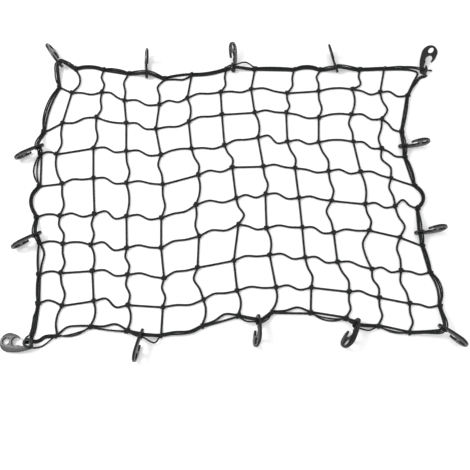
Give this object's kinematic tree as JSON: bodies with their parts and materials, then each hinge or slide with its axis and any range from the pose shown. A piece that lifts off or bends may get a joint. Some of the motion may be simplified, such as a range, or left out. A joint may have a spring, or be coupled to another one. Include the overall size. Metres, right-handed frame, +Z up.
{
  "type": "cargo net",
  "caption": "Elastic cord cargo net laid out flat, with knotted square meshes, a doubled border cord and flat plastic hooks round its edge.",
  "frame": {"origin": "middle of the outer box, on the surface that the net lies on", "axes": "+X to the right along the net's long side, +Y to its back edge, +Z up from the surface"},
  "size_m": [1.3374, 1.0766, 0.0615],
  "materials": {
    "mesh_cord": "matte braided elastic cord",
    "border_cord": "matte braided elastic cord",
    "hook_plastic": "semi-gloss moulded plastic"
  },
  "bodies": {
    "root": {"net_mesh": "mesh_cord", "border_cord_1": "border_cord", "border_cord_2": "border_cord", "corner_hitch": "border_cord", "hook_back_1": "hook_plastic", "hook_back_2": "hook_plastic", "hook_back_3": "hook_plastic", "hook_right_1": "hook_plastic", "hook_right_2": "hook_plastic", "hook_front_3": "hook_plastic", "hook_front_2": "hook_plastic", "hook_front_1": "hook_plastic", "hook_left_2": "hook_plastic", "hook_left_1": "hook_plastic", "hook_corner_back_left": "hook_plastic", "hook_corner_front_right": "hook_plastic", "hook_corner_back_right": "hook_plastic", "hook_corner_front_left": "hook_plastic"}
  },
  "joints": []
}
